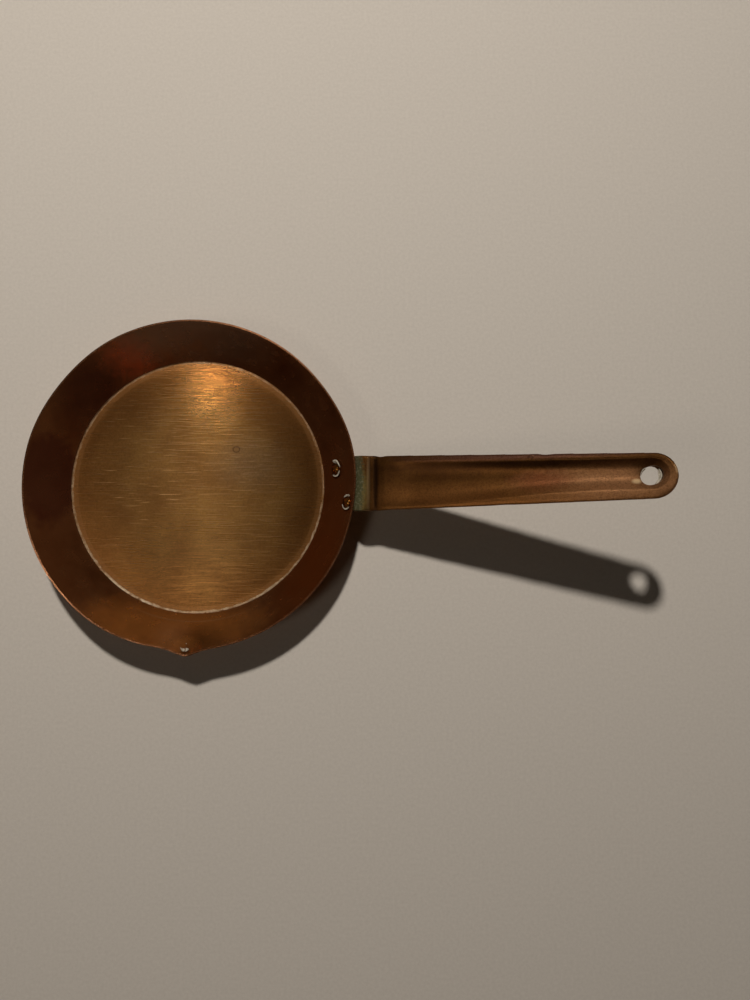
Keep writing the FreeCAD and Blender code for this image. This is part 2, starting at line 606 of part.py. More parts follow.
def main():
    fill_sheet()
    bodies = [make_pan(), make_handle(), make_rivet("low"), make_rivet("high")]
    doc.recompute()
    check(bodies)
    os.makedirs(OUT, exist_ok=True)
    for body in bodies:
        body.Shape.exportStep(os.path.join(OUT, f"{body.Label}.step"))


main()
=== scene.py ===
"""The looks of a small riveted copper pan: sanded floor, tarnished wall, browned strip handle."""

import math

import bmesh
import bpy
from mathutils import Matrix, Vector


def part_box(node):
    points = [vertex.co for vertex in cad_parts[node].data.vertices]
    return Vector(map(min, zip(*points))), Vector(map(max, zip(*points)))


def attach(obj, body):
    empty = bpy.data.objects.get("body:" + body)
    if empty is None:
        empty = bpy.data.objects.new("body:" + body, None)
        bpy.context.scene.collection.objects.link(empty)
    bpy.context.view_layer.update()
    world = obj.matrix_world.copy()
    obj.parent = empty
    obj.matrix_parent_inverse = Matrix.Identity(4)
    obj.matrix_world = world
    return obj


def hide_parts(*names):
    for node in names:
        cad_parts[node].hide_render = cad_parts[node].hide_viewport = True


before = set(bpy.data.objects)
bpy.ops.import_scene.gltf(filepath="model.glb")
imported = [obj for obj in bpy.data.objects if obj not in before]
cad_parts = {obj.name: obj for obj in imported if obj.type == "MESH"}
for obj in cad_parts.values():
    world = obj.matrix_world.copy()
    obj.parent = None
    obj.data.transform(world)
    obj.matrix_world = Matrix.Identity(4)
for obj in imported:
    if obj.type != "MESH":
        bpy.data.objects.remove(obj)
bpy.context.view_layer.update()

MM = 0.001

# the pan, in metres
PAN_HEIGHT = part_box("pan_body")[1].z
RIM_RADIUS = 60.35 * MM
FOOT_RADIUS = 48.8 * MM
SHEET = 1.0 * MM
FLOOR_BEND = 0.9 * MM
RIM_ROUND = 0.42 * MM
RIM_GAUGE = 0.55 * MM
WALL_SLOPE = math.atan2(PAN_HEIGHT, RIM_RADIUS - FOOT_RADIUS)
WALL_RUN = SHEET / math.sin(WALL_SLOPE)
CREASE_RADIUS = FOOT_RADIUS - WALL_RUN + SHEET / math.tan(WALL_SLOPE)
TURNS = 192

# each rivet's height on the outside of the wall and its angle round from the handle, in radians
RIVETS = {"low_rivet": (7.3 * MM, math.radians(6.6)), "high_rivet": (13.5 * MM, math.radians(-6.6))}

# the handle: its strip rises from STRIP_START, and its groove's round nose is struck from NOSE
STRIP_SHEET = 1.5 * MM
STRIP_TILT = math.radians(20)
STRIP_START = Vector((67.5 * MM, 0, 17.677 * MM))
STRIP_HALF = 10 * MM
STRIP_LENGTH = 101.5 * MM
TIP_RADIUS = 7.45 * MM
NOSE = STRIP_LENGTH - 7.6 * MM
UP_STRIP = Vector((math.cos(STRIP_TILT), 0, math.sin(STRIP_TILT)))
INTO_STRIP = Vector((math.sin(STRIP_TILT), 0, -math.cos(STRIP_TILT)))
# the hanging hole: how far along and across the strip, its radius, and how deep its mouth is worn
HOLE_ALONG, HOLE_ACROSS = 93.0 * MM, 0.1 * MM
HOLE_RADIUS = 3.0 * MM
MOUTH = 0.75 * MM
# nicks and a flat knocked into the strip's edges, in millimetres: where (along, across), which way, how far
HANDLE_MARKS = (
    ((55.6, 7.7), (0.0, 0.0, 0.22), 0.9),
    ((60.5, 8.5), (0.0, -0.22, 0.0), 3.2),
    ((2.0, 9.6), (0.0, -0.35, -0.1), 2.2),
    ((46.0, -8.4), (0.0, 0.12, 0.0), 4.0),
)

# the lamps hang at one height, apart from the fill
LAMP_HEIGHT = 0.713
LAMP_TINT = "FFEFDC"


# ---------------------------------------------------------------- working on a mesh by hand


def only(piece):
    """Selects one object and nothing else."""
    bpy.ops.object.select_all(action="DESELECT")
    piece.select_set(True)
    bpy.context.view_layer.objects.active = piece


def edit(piece):
    """Opens a piece for editing, with nothing picked."""
    only(piece)
    bpy.ops.object.mode_set(mode="EDIT")
    bpy.ops.mesh.select_mode(type="VERT")
    bpy.ops.mesh.select_all(action="DESELECT")


def done():
    """Closes the piece that is being edited."""
    bpy.ops.object.mode_set(mode="OBJECT")


def pick(piece, test):
    """Selects the vertices, in edit mode, whose place passes the test."""
    mesh = bmesh.from_edit_mesh(piece.data)
    for vert in mesh.verts:
        vert.select = test(vert.co)
    mesh.select_flush_mode()
    bmesh.update_edit_mesh(piece.data)


def pick_faces(piece, test):
    """Selects the faces, in edit mode, whose middle and outward direction pass the test."""
    bpy.ops.mesh.select_mode(type="FACE")
    mesh = bmesh.from_edit_mesh(piece.data)
    for face in mesh.faces:
        face.select = test(face.calc_center_median(), face.normal)
    mesh.select_flush_mode()
    bmesh.update_edit_mesh(piece.data)


def nudge(piece, spot, shift, reach, falloff="SMOOTH", near=0.6 * MM):
    """Pulls the metal at a spot, and what lies within reach of it less and less."""
    pick(piece, lambda place: (place - spot).length < near)
    bpy.ops.transform.translate(
        value=shift, use_proportional_edit=True, proportional_edit_falloff=falloff, proportional_size=reach
    )


def draw(points):
    """A run of edges through points in the XZ plane, as the section of something turned."""
    bpy.ops.mesh.primitive_plane_add(size=MM, location=(0, 0, 0))
    piece = bpy.context.object
    edit(piece)
    bpy.ops.mesh.select_all(action="SELECT")
    bpy.ops.mesh.merge(type="CENTER")
    bpy.ops.transform.translate(value=Vector((points[0][0], 0, points[0][1])))
    for (x0, z0), (x1, z1) in zip(points, points[1:]):
        bpy.ops.mesh.extrude_vertices_move(TRANSFORM_OT_translate={"value": (x1 - x0, 0, z1 - z0)})
    done()
    return piece


def turn(points, name, steps):
    """Turns a section all the way round Z, closes its poles and points its faces outwards."""
    piece = draw(points)
    piece.name = piece.data.name = name
    edit(piece)
    bpy.ops.mesh.select_all(action="SELECT")
    bpy.ops.mesh.spin(steps=steps, angle=2 * math.pi, center=(0, 0, 0), axis=(0, 0, 1))
    bpy.ops.mesh.select_all(action="SELECT")
    bpy.ops.mesh.remove_doubles(threshold=0.01 * MM)
    bpy.ops.mesh.normals_make_consistent(inside=False)
    done()
    return piece


def arc(centre, radius, start, stop, steps):
    """Points round an arc, from one angle to another in radians."""
    angles = (start + (stop - start) * i / steps for i in range(steps + 1))
    return [(centre[0] + radius * math.cos(a), centre[1] + radius * math.sin(a)) for a in angles]


def between(start, stop, steps):
    """Points inside a straight run, without its ends."""
    return [tuple(Vector(start).lerp(Vector(stop), i / steps)) for i in range(1, steps)]


def round_z(degrees):
    """The level direction at an angle round from the handle."""
    return Vector((math.cos(math.radians(degrees)), math.sin(math.radians(degrees)), 0))


def apply_modifier(piece, kind, **settings):
    """Adds one modifier with its settings and bakes it into the mesh."""
    only(piece)
    modifier = piece.modifiers.new(kind.lower(), kind)
    for key, value in settings.items():
        setattr(modifier, key, value)
    bpy.ops.object.modifier_apply(modifier=modifier.name)


def smooth(piece):
    """Shades a piece smooth, apart from its sharp edges."""
    only(piece)
    bpy.ops.object.shade_smooth_by_angle(angle=math.radians(60))


def settle(piece):
    """Puts a piece's place, turn and size into its mesh."""
    only(piece)
    bpy.ops.object.transform_apply(location=True, rotation=True, scale=True)


# ---------------------------------------------------------------- finishes


def srgb(code):
    """A hex colour as linear light."""
    parts = (int(code[i : i + 2], 16) / 255 for i in (0, 2, 4))
    return (*(c / 12.92 if c <= 0.04045 else ((c + 0.055) / 1.055) ** 2.4 for c in parts), 1.0)


def add(tree, kind, plugs=None, out=0, **settings):
    """Adds a node and gives back one of its outputs. plugs holds its inputs: values or other outputs."""
    node = tree.nodes.new("ShaderNode" + kind)
    for key, value in settings.items():
        setattr(node, key, value)
    for socket, value in (plugs or {}).items():
        if isinstance(value, bpy.types.NodeSocket):
            tree.links.new(value, node.inputs[socket])
        else:
            node.inputs[socket].default_value = value
    return node.outputs[out]


def start_finish(name, **plain):
    """A new material: its tree, its shader with the plain settings made, and the place on the piece."""
    material = bpy.data.materials.new(name)
    material.use_nodes = True
    tree = material.node_tree
    shader = tree.nodes["Principled BSDF"]
    for socket, value in plain.items():
        shader.inputs[socket.replace("_", " ")].default_value = value
    return material, tree, shader, add(tree, "TexCoord", out="Object")


def join(tree, shader, **outputs):
    """Links outputs to the shader's inputs by name."""
    for socket, value in outputs.items():
        tree.links.new(value, shader.inputs[socket.replace("_", " ")])


def spread(tree, value, low, high, to_low=0.0, to_high=1.0):
    """Stretches a value's middle part over a range."""
    plugs = {"Value": value, "From Min": low, "From Max": high, "To Min": to_low, "To Max": to_high}
    return add(tree, "MapRange", plugs)


def tint(tree, share, below, above):
    """Goes from one colour to another as the share goes from 0 to 1."""
    return add(tree, "Mix", {0: share, 6: below, 7: above}, 2, data_type="RGBA")


def both(tree, one, other, operation="MULTIPLY"):
    """Puts two values together, by multiplying them unless told otherwise."""
    return add(tree, "Math", {0: one, 1: other}, operation=operation)


def rub(tree, place, degrees, length, width, detail=4.0):
    """Marks left by rubbing one way: so long and so wide, in millimetres, turned from the handle's line."""
    scale = (1 / (length * MM), 1 / (width * MM), 1 / (width * MM))
    turn_by = (0, 0, math.radians(degrees))
    turned = add(tree, "Mapping", {"Vector": place, "Rotation": turn_by, "Scale": scale})
    return add(tree, "TexNoise", {"Vector": turned, "Scale": 1.0, "Detail": detail, "Roughness": 0.6})


def blotch(tree, place, grain, detail=4.0, roughness=0.6):
    """A cloudy pattern with marks about grain millimetres across."""
    plugs = {"Vector": place, "Scale": 1 / (grain * MM), "Detail": detail, "Roughness": roughness}
    return add(tree, "TexNoise", plugs)


def patch(tree, place, spot, size, soft=0.5, ragged=0.35):
    """1 inside a ragged patch of a given size round a spot, both in millimetres, and 0 outside it."""
    scale = [1 / (side * MM) for side in size]
    ripple = add(tree, "TexNoise", {"Vector": place, "Scale": 3 / (min(size) * MM), "Detail": 4.0}, "Color")
    pushed = add(tree, "VectorMath", {0: ripple, 1: (0.5, 0.5, 0.5)}, operation="SUBTRACT")
    pushed = add(tree, "VectorMath", {0: pushed, "Scale": ragged * 2}, operation="SCALE")
    moved = [-at * MM * k for at, k in zip(spot, scale)]
    own = add(tree, "Mapping", {"Vector": place, "Scale": scale, "Location": moved})
    own = add(tree, "VectorMath", {0: own, 1: pushed}, operation="ADD")
    far = add(tree, "VectorMath", {0: own}, "Value", operation="LENGTH")
    return spread(tree, far, 1 + soft / 2, 1 - soft / 2)


def stain(tree, place, ground, colour, share, spot, size, soft=0.5, ragged=0.35):
    """The ground, gone a share of the way to another colour inside a patch."""
    return tint(tree, both(tree, patch(tree, place, spot, size, soft, ragged), share), ground, srgb(colour))


def from_middle(tree, place):
    """How far a place lies out from the pan's middle axis."""
    flat = add(tree, "VectorMath", {0: place, 1: (1.0, 1.0, 0.0)}, operation="MULTIPLY")
    return add(tree, "VectorMath", {0: flat}, "Value", operation="LENGTH")


def hoop(tree, far, radius, half):
    """1 within a narrow round band, and 0 off it. far is how far out a place lies."""
    return add(tree, "Math", {0: far, 1: radius, 2: half}, operation="COMPARE")


def sanded_copper():
    """Copper sheet rubbed with fine abrasive to and fro, roughly along the handle's line.

    The eye gets a satin golden ground, a bright streak across the rub, stray scratches painted bright as
    glints, and a chalky ring of dried polish in the crease round it, brightened by a painted highlight of the
    bend."""
    material, tree, shader, place = start_finish("sanded copper floor", Anisotropic=0.8)
    # abrasive lines, drawn a little coarser than the real grit so that they show
    fine = rub(tree, place, 4, 9.0, 0.2, 1.5)
    coarse = rub(tree, place, 9, 14.0, 0.3, 1.0)
    cross = rub(tree, place, -5, 10.0, 0.26, 1.0)
    lines = both(tree, both(tree, fine, coarse, "ADD"), both(tree, cross, 0.5), "ADD")
    # single long scratches, painted bright as glints where they catch the light
    stray = spread(tree, rub(tree, place, 9, 12.0, 0.34, 1.0), 0.66, 0.72)
    stray = both(tree, stray, patch(tree, place, (-20, 10, 1), (20, 22, 9)))
    cloud = spread(tree, blotch(tree, place, 22), 0.3, 0.7)
    speck = spread(tree, blotch(tree, place, 0.9, 3.0, 0.8), 0.32, 0.62)
    ground = tint(tree, cloud, srgb("7A5832"), srgb("9E7A48"))
    # browner outwards, towards the crease
    far = from_middle(tree, place)
    ground = tint(tree, spread(tree, far, 28 * MM, 47 * MM, 0.0, 0.6), ground, srgb("8C5C30"))
    # a greyish stain off the middle, where something has stood
    ground = stain(tree, place, ground, "9A8466", 0.35, (20, 9, 1), (12, 9, 9), 0.9)
    ground = tint(tree, speck, tint(tree, 0.35, ground, srgb("3A2413")), ground)
    ground = tint(tree, spread(tree, lines, 1.3, 1.7, 0.0, 0.28), ground, srgb("D8A46A"))
    ground = tint(tree, spread(tree, lines, 1.1, 0.8, 0.0, 0.12), ground, srgb("4A3018"))
    # the stray scratches' painted glints
    ground = tint(tree, both(tree, stray, 0.7), ground, srgb("F0C58C"))
    # a small round pit's edge
    pit_at = (14.4, 14.2, 1)
    pit = patch(tree, place, pit_at, (1.5, 1.3, 3), 0.3, 0.2)
    pit = both(tree, pit, patch(tree, place, pit_at, (1.0, 0.8, 3), 0.3, 0.2), "SUBTRACT")
    ground = tint(tree, both(tree, pit, 0.7), ground, srgb("3A2412"))
    # a painted highlight: a paler band along the floor's bend inside the crease
    bend_highlight = hoop(tree, far, CREASE_RADIUS - 1.2 * MM, 1.3 * MM)
    ground = tint(tree, both(tree, bend_highlight, 0.3), ground, srgb("A87C50"))
    # the chalky ring in the crease, broken up by crumbs: dried polish and a painted highlight of the bend
    # together, strongest by the lip and to either side of it
    waver = spread(tree, blotch(tree, place, 3.0, 4.0, 0.7), 0.3, 0.7, -0.3 * MM, 0.3 * MM)
    ring = hoop(tree, both(tree, far, waver, "ADD"), CREASE_RADIUS - 0.3 * MM, 0.5 * MM)
    crumb = spread(tree, blotch(tree, place, 1.8, 4.0, 0.7), 0.4, 0.6, 0.2, 1.0)
    left = both(tree, patch(tree, place, (-20, -42, 1), (30, 22, 9), 1.2), 0.65)
    right = both(tree, patch(tree, place, (38, -28, 1), (24, 24, 9), 1.2), 0.3)
    kept = spread(tree, blotch(tree, place, 20, 2.0), 0.35, 0.65, 0.08, 0.4)
    kept = both(tree, both(tree, left, right, "ADD"), kept, "ADD")
    chalk = both(tree, ring, both(tree, crumb, kept))
    colour = tint(tree, chalk, ground, srgb("EADCC2"))
    metal = spread(tree, chalk, 0, 1, 1.0, 0.25)
    # rubbed smoother by the lip and at the far side
    gloss = spread(tree, lines, 0.95, 1.55, 0.36, 0.26)
    for spot, size, change in (((6, 40, 1), (13, 15, 9), -0.1), ((-3, -34, 1), (17, 15, 9), -0.13)):
        smoother = both(tree, patch(tree, place, spot, size, 1.8, 0.25), change)
        gloss = both(tree, gloss, smoother, "ADD")
    gloss = both(tree, gloss, spread(tree, chalk, 0, 1, 0.0, 0.3), "ADD")
    bump = add(tree, "Bump", {"Height": lines, "Strength": 0.14, "Distance": 0.05 * MM})
    # the streak of light lies across the rub
    across = add(tree, "CombineXYZ", {"X": 0.1, "Y": 1.0, "Z": 0.0})
    join(tree, shader, Base_Color=colour, Metallic=metal, Roughness=gloss, Normal=bump, Tangent=across)
    return material


def tarnished_copper():
    """Polished copper gone brown and plum with age, on the pan's flared wall.

    The eye gets deep soft reflections, redder where the metal mirrors itself and partly painted as
    reflection, smoky oxide patches and painted shade."""
    material, tree, shader, place = start_finish("tarnished polished copper wall", Metallic=0.86)
    cloud = spread(tree, blotch(tree, place, 20, 5.0), 0.32, 0.68)
    ground = tint(tree, cloud, srgb("784828"), srgb("9A6A44"))
    # a painted warm reflection all round the lip, where the wall mirrors the copper
    ground = stain(tree, place, ground, "E6984E", 0.9, (-8, -52, 8), (32, 10, 12), 0.9)
    # a faint line left by the tool that set the crease
    line = hoop(tree, from_middle(tree, place), 51 * MM, 0.14 * MM)
    line = both(tree, line, patch(tree, place, (-3, -50, 4), (22, 6, 9), 0.9, 0.5))
    ground = tint(tree, both(tree, line, 0.5), ground, srgb("F0B884"))
    # a painted highlight where the lip's left flank turns, and painted shade where its right flank falls away
    ground = stain(tree, place, ground, "F0A868", 0.8, (-6.5, -55.5, 11), (5, 5, 9), 1.3, 0.5)
    ground = stain(tree, place, ground, "6A4422", 0.7, (4, -57, 12), (7, 4, 8), 1.6, 0.5)
    # plum at the left, a painted red reflection and painted shade beyond it, flushed orange at the right, and
    # greyer and paler at the far side
    ground = stain(tree, place, ground, "5A2A26", 0.6, (-54, 2, 8), (9, 17, 14), 0.35)
    # painted reflection: red where the copper mirrors itself
    ground = stain(tree, place, ground, "D07048", 0.9, (-25, 48, 8), (8, 6, 10), 1.2, 0.8)
    # painted shade
    ground = stain(tree, place, ground, "4A2822", 0.6, (-40, 36, 8), (14, 14, 12), 1.0, 0.5)
    ground = stain(tree, place, ground, "9A4E1C", 0.75, (48, -30, 8), (16, 34, 14), 1.2)
    ground = stain(tree, place, ground, "988270", 0.8, (2, 55, 9), (26, 9, 12), 1.0)
    # smears left by wiping with a cloth
    wipe = blotch(tree, place, 5, 3.0, 0.55)
    gloss = spread(tree, wipe, 0.3, 0.7, 0.18, 0.3)
    bump = add(tree, "Bump", {"Height": wipe, "Strength": 0.08, "Distance": 0.05 * MM})
    join(tree, shader, Base_Color=ground, Roughness=gloss, Normal=bump)
    return material


def worn_copper(name, dull, bright, rough):
    """Bare or browned copper, handled for years: cloudy brown skin, worn back to metal in places.

    The eye gets a soft, uneven brown sheen with fine rub marks."""
    material, tree, shader, place = start_finish(name, Metallic=1.0)
    cloud = spread(tree, blotch(tree, place, 9, 5.0), 0.3, 0.7)
    speck = spread(tree, blotch(tree, place, 0.7, 3.0, 0.8), 0.3, 0.55)
    ground = tint(tree, cloud, srgb(dull), srgb(bright))
    ground = tint(tree, speck, tint(tree, 0.4, ground, srgb("2C1A10")), ground)
    marks = rub(tree, place, 4, 6.0, 0.3, 4.0)
    gloss = spread(tree, marks, 0.3, 0.7, rough + 0.08, rough - 0.06)
    bump = add(tree, "Bump", {"Height": marks, "Strength": 0.08, "Distance": 0.05 * MM})
    join(tree, shader, Base_Color=ground, Roughness=gloss, Normal=bump)
    return material


def browned_strip():
    """A copper strip browned by years of handling, with green verdigris where the ledge meets the rim.

    The eye gets a warm brown sheen, plum along its upper edge and painted brighter towards the hole as a
    highlight, and a dry green band."""
    material, tree, shader, place = start_finish("browned copper strip")
    cloud = spread(tree, blotch(tree, place, 8, 5.0), 0.3, 0.7)
    speck = spread(tree, blotch(tree, place, 0.6, 3.0, 0.8), 0.36, 0.56)
    ground = tint(tree, cloud, srgb("62401F"), srgb("7A5429"))
    # a painted highlight: a lighter tone towards the hole
    rubbed = patch(tree, place, (144, -2, 44), (24, 5, 20), 1.2, 0.3)
    ground = tint(tree, both(tree, rubbed, 0.7), ground, srgb("D49E70"))
    # painted shade along the neck's upper side, and a painted lighter tone along its lower side, which faces
    # the light
    ground = stain(tree, place, ground, "4A2E16", 0.35, (88, 4.8, 25), (26, 3.6, 12), 0.9, 0.3)
    low = patch(tree, place, (100, -5, 29), (44, 4, 18), 1.0, 0.4)
    ground = tint(tree, both(tree, low, 0.6), ground, srgb("A6703C"))
    # a ruddy flush half way along the groove, and plum along the upper edge
    ground = stain(tree, place, ground, "96502E", 0.5, (123, -0.5, 38), (9, 3, 9), 1.0, 0.6)
    ground = stain(tree, place, ground, "8A6256", 0.7, (122, 8.4, 38), (44, 1.6, 30), 0.8, 0.4)
    ground = tint(tree, speck, tint(tree, 0.4, ground, srgb("2A180E")), ground)
    # painted shade in the valley behind the ledge
    ground = stain(tree, place, ground, "22140A", 0.8, (67.7, 0, 17.5), (1.0, 14, 3), 0.9, 0.3)
    # painted shade along the groove's upper flank under the upper lip, and darker round the hanging hole
    ground = stain(tree, place, ground, "2C180A", 0.6, (116, 5.2, 36), (54, 1.4, 24), 1.0, 0.3)
    ground = stain(tree, place, ground, "2C180A", 0.6, (156.4, 1.2, 47.6), (5.4, 4.4, 4), 1.0, 0.3)
    # painted highlights on the ledge's crest, the groove's end by the hole, and the tip's corner
    ground = stain(tree, place, ground, "FFDFB0", 0.2, (65.2, 0, 17.4), (0.6, 11, 3), 0.9, 0.3)
    ground = stain(tree, place, ground, "FFDFB0", 1.0, (151.6, -1.6, 46.6), (1.2, 0.7, 3), 0.9, 0.3)
    ground = stain(tree, place, ground, "FFDFB0", 1.0, (162.6, 4.6, 52), (0.8, 3.2, 2.5), 0.9, 0.3)
    # verdigris: a ragged green crust on the ledge's inner part, flecked with chalk
    crust = patch(tree, place, (61.4, 0, 17.0), (2.0, 14, 5), 0.6, 0.8)
    fleck = spread(tree, blotch(tree, place, 0.9, 3.0, 0.7), 0.52, 0.62)
    green = tint(tree, both(tree, fleck, 0.6), srgb("3F4632"), srgb("8A8C76"))
    ground = stain(tree, place, ground, "8E8A55", 0.55, (62.6, -3.5, 17.4), (2.6, 8, 5), 0.9, 0.7)
    colour = tint(tree, both(tree, crust, 0.85), ground, green)
    marks = rub(tree, place, 2, 7.0, 0.3, 4.0)
    gloss = spread(tree, marks, 0.3, 0.7, 0.44, 0.32)
    gloss = both(tree, gloss, spread(tree, crust, 0, 1, 0.0, 0.5), "ADD")
    height = both(tree, marks, crust, "ADD")
    bump = add(tree, "Bump", {"Height": height, "Strength": 0.16, "Distance": 0.05 * MM})
    # less metallic on the painted lighter lower side, more so on the painted highlight towards the hole, and
    # most on the crust
    skin = both(tree, both(tree, low, 0.07), both(tree, rubbed, 0.2), "ADD")
    skin = both(tree, both(tree, crust, 0.8), skin, "ADD")
    metal = spread(tree, skin, 0, 1, 0.89, 0.0)
    join(tree, shader, Base_Color=colour, Metallic=metal, Roughness=gloss, Normal=bump)
    return material


def dried_polish():
    """Metal polish that dried in the corners and was never wiped out: dull, chalky, greenish white."""
    material, tree, shader, place = start_finish("dried metal polish", Roughness=0.85)
    crumb = spread(tree, blotch(tree, place, 0.8, 4.0), 0.3, 0.7)
    bump = add(tree, "Bump", {"Height": crumb, "Strength": 0.5, "Distance": 0.1 * MM})
    join(tree, shader, Base_Color=tint(tree, crumb, srgb("8E8A7C"), srgb("D8D4C8")), Normal=bump)
    return material


def plain_paper():
    """Matt white paper: an even pale ground."""
    material, tree, shader, place = start_finish("matt white paper", Roughness=0.85)
    tooth = spread(tree, blotch(tree, place, 1.2, 4.0), 0.2, 0.8)
    join(tree, shader, Base_Color=tint(tree, tooth, srgb("CFCDC8"), srgb("DCDAD5")))
    return material


# ---------------------------------------------------------------- the pan


def pan_section():
    """The pan in section, from the middle of its floor, over the rim, to the middle of its underside."""
    slope = WALL_SLOPE
    up, out = Vector((math.cos(slope), math.sin(slope))), Vector((math.sin(slope), -math.cos(slope)))
    quarter = math.pi / 2
    # the bend from the floor to the wall, which both faces of the sheet share a centre for
    bend_at = (CREASE_RADIUS - FLOOR_BEND * math.tan(slope / 2), SHEET + FLOOR_BEND)
    inner_bend = arc(bend_at, FLOOR_BEND, -quarter, slope - quarter, 5)
    outer_bend = arc(bend_at, FLOOR_BEND + SHEET, slope - quarter, -quarter, 6)
    rim_out = Vector((RIM_RADIUS, PAN_HEIGHT))
    rim_in = rim_out - Vector((RIM_GAUGE, 0))
    # the sheet thins towards the rim, whose two edges are rounded by wear
    in_turn = rim_in - up * 3.2 * MM - out * 0.12 * MM
    out_turn = rim_out - up * RIM_ROUND
    # the rim's points, in millimetres: from which corner, how far down the wall, and how far out from it
    steps = (
        (rim_in, 1.4, -0.02), (rim_in, 0.3, 0.0), (rim_in, 0.1, 0.05), (rim_in, 0.02, 0.16),
        (rim_out, 0.05, -0.2), (rim_out, 0.18, -0.05),
    )
    rim = [tuple(corner - up * down * MM + out * away * MM) for corner, down, away in steps]
    rim = [tuple(in_turn)] + rim + [tuple(out_turn)]
    floor = [(r * MM, SHEET) for r in (0, 5, 11, 17, 23, 29, 35, 40, 44)]
    under = [(r * MM, 0.0) for r in (44, 35, 23, 11, 0)]
    inner_wall = between(inner_bend[-1], in_turn, 14)
    outer_wall = between(out_turn, outer_bend[0], 14)
    return floor + inner_bend + inner_wall + rim + outer_wall + outer_bend + under


def make_pan():
    """Spun from its section, then pulled: the pouring lip, and a rim a little out of round."""
    pan = turn(pan_section(), "copper_pan", TURNS)
    edit(pan)
    # the lip is pinched out at the rim, in a crease that dies away half way down the wall
    tip = Vector((0, -(RIM_RADIUS - RIM_GAUGE / 2), PAN_HEIGHT))
    nudge(pan, tip, (0, -1.0 * MM, 0), 19 * MM, "SHARP", near=1.3 * MM)
    nudge(pan, tip, (0, -1.1 * MM, 0), 6.5 * MM, "SMOOTH", near=1.3 * MM)
    for side, push in ((-9.5, 0.35), (9.5, 0.15)):
        spot = tip + Vector((side * MM, 0.9 * MM, 0))
        nudge(pan, spot, (0, push * MM, 0), 7 * MM, "SMOOTH", near=1.3 * MM)
    # the rim is a little out of round
    for degrees, pull, reach in ((12, 0.75, 28), (143, -0.5, 26), (238, 0.35, 22)):
        away = round_z(degrees)
        spot = away * (RIM_RADIUS - WALL_RUN / 2) + Vector((0, 0, PAN_HEIGHT))
        nudge(pan, spot, away * pull * MM, reach * MM, "SMOOTH", near=1.2 * MM)
    done()
    smooth(pan)
    outside = worn_copper("worn copper outside", "8A5230", "B57A4A", 0.28)
    rim = worn_copper("bright rubbed copper rim", "A06E50", "D09A74", 0.28)
    # each finish goes over the ones before it, on faces whose middle and outward direction pass its test
    finishes = (
        (sanded_copper(), lambda middle, way: True),
        (tarnished_copper(), lambda middle, way: middle.xy.length > CREASE_RADIUS + 0.05 * MM),
        (outside, lambda middle, way: way.xy.dot(middle.xy) > 0 or way.z < -0.1),
        (rim, lambda middle, way: middle.z > PAN_HEIGHT - 0.32 * MM),
    )
    for slot, (material, test) in enumerate(finishes):
        pan.data.materials.append(material)
        edit(pan)
        pick_faces(pan, test)
        pan.active_material_index = slot
        bpy.ops.object.material_slot_assign()
        done()
    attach(pan, "root")
    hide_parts("pan_body")


# ---------------------------------------------------------------- the handle


def handle_line():
    """The handle's upper face in section: up the wall, over the rim, along the ledge and up the strip."""
    bend_radius = 4 * MM
    bend_at = (63.318 * MM, STRIP_START.z - bend_radius)
    over = arc(bend_at, bend_radius, WALL_SLOPE + math.pi / 2, math.pi / 2, 9)
    foot = (FOOT_RADIUS + 3.5 * MM / math.tan(WALL_SLOPE) + 0.06 * MM, 3.5 * MM)
    # the ledge is a soft hump, with a valley between it and the strip's rise
    ledge = [(63.7, 17.69), (64.2, 17.68), (64.8, 17.58), (65.3, 17.4), (65.8, 17.24), (66.3, 17.18)]
    ledge += [(66.9, 17.26), (67.6, 17.5), (68.3, 17.8), (69.0, 18.12), (69.8, 18.45), (70.8, 18.86)]
    ledge = [(x * MM, z * MM) for x, z in ledge]
    # finer steps where the tip turns round
    near_end, end = (
        (STRIP_START.x + length * math.cos(STRIP_TILT), STRIP_START.z + length * math.sin(STRIP_TILT))
        for length in (STRIP_LENGTH - 5 * MM, STRIP_LENGTH)
    )
    strip = between(ledge[-1], near_end, 98) + between(near_end, end, 22)
    return [foot] + between(foot, over[0], 14) + over + ledge + strip + [end]


def ease(value, low, high):
    """0 below low and 1 above high, with a soft run between."""
    share = min(max((value - low) / (high - low), 0.0), 1.0)
    return share * share * (3 - 2 * share)


def half_width(along):
    """The strip tapers evenly and ends in a half round."""
    centre = STRIP_LENGTH - TIP_RADIUS
    width = STRIP_HALF + (TIP_RADIUS - STRIP_HALF) * min(max(along / centre, 0.0), 1.0)
    if along > centre:
        width = math.sqrt(max(TIP_RADIUS**2 - (along - centre) ** 2, (0.35 * MM) ** 2))
    return width


def groove_depth(along, off):
    """A shallow dish by the ledge that narrows and deepens into a round-nosed groove at the tip."""
    share = ease(along, 8 * MM, 84 * MM)
    middle = (-0.3 + 1.05 * ease(along, 15 * MM, 75 * MM)) * MM
    half = (7.9 - 3.1 * share) * MM
    deepest = (1.1 * ease(along, 1.5 * MM, 16 * MM) + 0.95 * share) * MM
    beyond = max(along - NOSE, 0.0)
    far = math.hypot(off - middle, beyond) / half
    return deepest * max(1 - far**2.8, 0.0) ** 1.1


